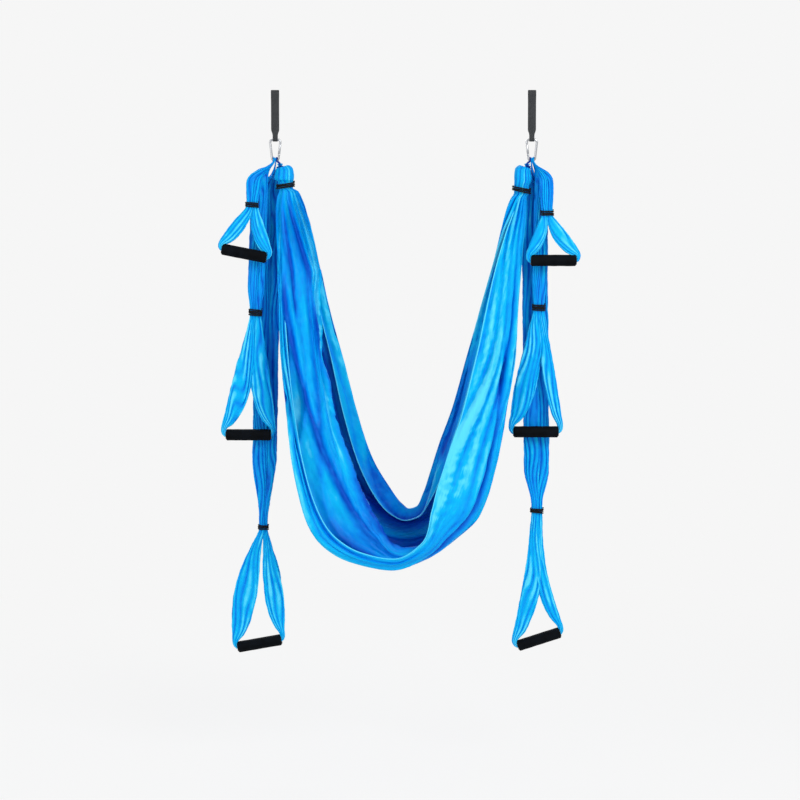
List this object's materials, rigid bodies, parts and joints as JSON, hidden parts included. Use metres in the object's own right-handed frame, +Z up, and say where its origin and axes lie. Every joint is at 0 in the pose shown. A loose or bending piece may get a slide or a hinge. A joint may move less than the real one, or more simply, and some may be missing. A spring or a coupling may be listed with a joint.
{
  "type": "aerial yoga swing",
  "caption": "Aerial yoga swing: a blue cloth hammock seat hung from webbing straps and spring hooks, with tied cloth hand slings and foam grips at graded heights on each side.",
  "frame": {"origin": "midway between the inner tops of the two strap eyes, where the swing hangs", "axes": "+Z up, +X from the left strap to the right strap, -Y towards the user's front side in the picture"},
  "size_m": [1.0846, 0.3281, 1.6986],
  "materials": {
    "cloth": "slightly glossy crinkled nylon",
    "anchor_band": "matte woven band",
    "elastic": "matte covered elastic",
    "webbing": "ribbed polyester webbing",
    "steel": "bright zinc-plated wire",
    "foam": "matte closed-cell foam",
    "plastic": "moulded black plastic"
  },
  "bodies": {
    "straps": {"strap_left": "webbing", "strap_right": "webbing"},
    "swing": {"hook_left": "steel", "hook_right": "steel", "gate_pin_left": "steel", "gate_pin_right": "steel", "seat_cloth": "cloth", "seat_tie_left": "elastic", "seat_tie_right": "elastic", "anchor_left": "anchor_band", "anchor_right": "anchor_band"},
    "gate_left": {"gate_left": "steel"},
    "gate_right": {"gate_right": "steel"},
    "sling_long_left": {"sling_long_left": "cloth", "tie_long_left": "elastic"},
    "sling_medium_left": {"sling_medium_left": "cloth", "tie_medium_left": "elastic"},
    "sling_short_left": {"sling_short_left": "cloth", "tie_short_left": "elastic"},
    "grip_long_left": {"grip_foam_long_left": "foam", "grip_core_long_left": "plastic"},
    "grip_medium_left": {"grip_foam_medium_left": "foam", "grip_core_medium_left": "plastic"},
    "grip_short_left": {"grip_foam_short_left": "foam", "grip_core_short_left": "plastic"},
    "sling_long_right": {"sling_long_right": "cloth", "tie_long_right": "elastic"},
    "sling_medium_right": {"sling_medium_right": "cloth", "tie_medium_right": "elastic"},
    "sling_short_right": {"sling_short_right": "cloth", "tie_short_right": "elastic"},
    "grip_long_right": {"grip_foam_long_right": "foam", "grip_core_long_right": "plastic"},
    "grip_medium_right": {"grip_foam_medium_right": "foam", "grip_core_medium_right": "plastic"},
    "grip_short_right": {"grip_foam_short_right": "foam", "grip_core_short_right": "plastic"}
  },
  "joints": [
    {"name": "swing_hinge", "type": "hinge", "parent": "straps", "child": "swing", "pos_m": [0, 0, -0.144], "axis": [1, 0, 0], "range_deg": [-45, 45]},
    {"name": "gate_hinge_left", "type": "hinge", "parent": "swing", "child": "gate_left", "pos_m": [-0.37018, 0, -0.19015], "axis": [0, -1, 0], "range_deg": [0, 22], "stiffness_Nm_per_rad": 0.15, "springref_deg": -20.05},
    {"name": "sling_long_left_hinge", "type": "hinge", "parent": "swing", "child": "sling_long_left", "pos_m": [-0.3796, 0, -0.2069], "axis": [-1, 0, 0], "range_deg": [-45, 45]},
    {"name": "sling_medium_left_hinge", "type": "hinge", "parent": "sling_long_left", "child": "sling_medium_left", "pos_m": [-0.3824, 0, -0.2069], "axis": [-1, 0, 0], "range_deg": [0, 30]},
    {"name": "sling_short_left_hinge", "type": "hinge", "parent": "sling_medium_left", "child": "sling_short_left", "pos_m": [-0.3852, 0, -0.20608], "axis": [-1, 0, 0], "range_deg": [0, 30]},
    {"name": "grip_long_left_spin", "type": "hinge", "parent": "sling_long_left", "child": "grip_long_left", "pos_m": [-0.438, 0.039, -1.669], "axis": [-0.9848, 0, -0.1736], "continuous": true},
    {"name": "grip_medium_left_spin", "type": "hinge", "parent": "sling_medium_left", "child": "grip_medium_left", "pos_m": [-0.4655, 0, -1.026], "axis": [-1, 0, 0], "continuous": true},
    {"name": "grip_short_left_spin", "type": "hinge", "parent": "sling_short_left", "child": "grip_short_left", "pos_m": [-0.4725, -0.042, -0.48], "axis": [-0.9816, 0, 0.1908], "continuous": true},
    {"name": "gate_hinge_right", "type": "hinge", "parent": "swing", "child": "gate_right", "pos_m": [0.37018, 0, -0.19015], "axis": [0, 1, 0], "range_deg": [0, 22], "stiffness_Nm_per_rad": 0.15, "springref_deg": -20.05},
    {"name": "sling_long_right_hinge", "type": "hinge", "parent": "swing", "child": "sling_long_right", "pos_m": [0.3796, 0, -0.2069], "axis": [-1, 0, 0], "range_deg": [-45, 45]},
    {"name": "sling_medium_right_hinge", "type": "hinge", "parent": "sling_long_right", "child": "sling_medium_right", "pos_m": [0.3824, 0, -0.2069], "axis": [-1, 0, 0], "range_deg": [0, 30]},
    {"name": "sling_short_right_hinge", "type": "hinge", "parent": "sling_medium_right", "child": "sling_short_right", "pos_m": [0.3852, 0, -0.20608], "axis": [-1, 0, 0], "range_deg": [0, 30]},
    {"name": "grip_long_right_spin", "type": "hinge", "parent": "sling_long_right", "child": "grip_long_right", "pos_m": [0.4125, 0.039, -1.656], "axis": [0.9511, 0, 0.309], "continuous": true},
    {"name": "grip_medium_right_spin", "type": "hinge", "parent": "sling_medium_right", "child": "grip_medium_right", "pos_m": [0.3975, 0, -1.017], "axis": [1, 0, 0], "continuous": true},
    {"name": "grip_short_right_spin", "type": "hinge", "parent": "sling_short_right", "child": "grip_short_right", "pos_m": [0.445, -0.042, -0.501], "axis": [1, 0, 0], "continuous": true}
  ]
}
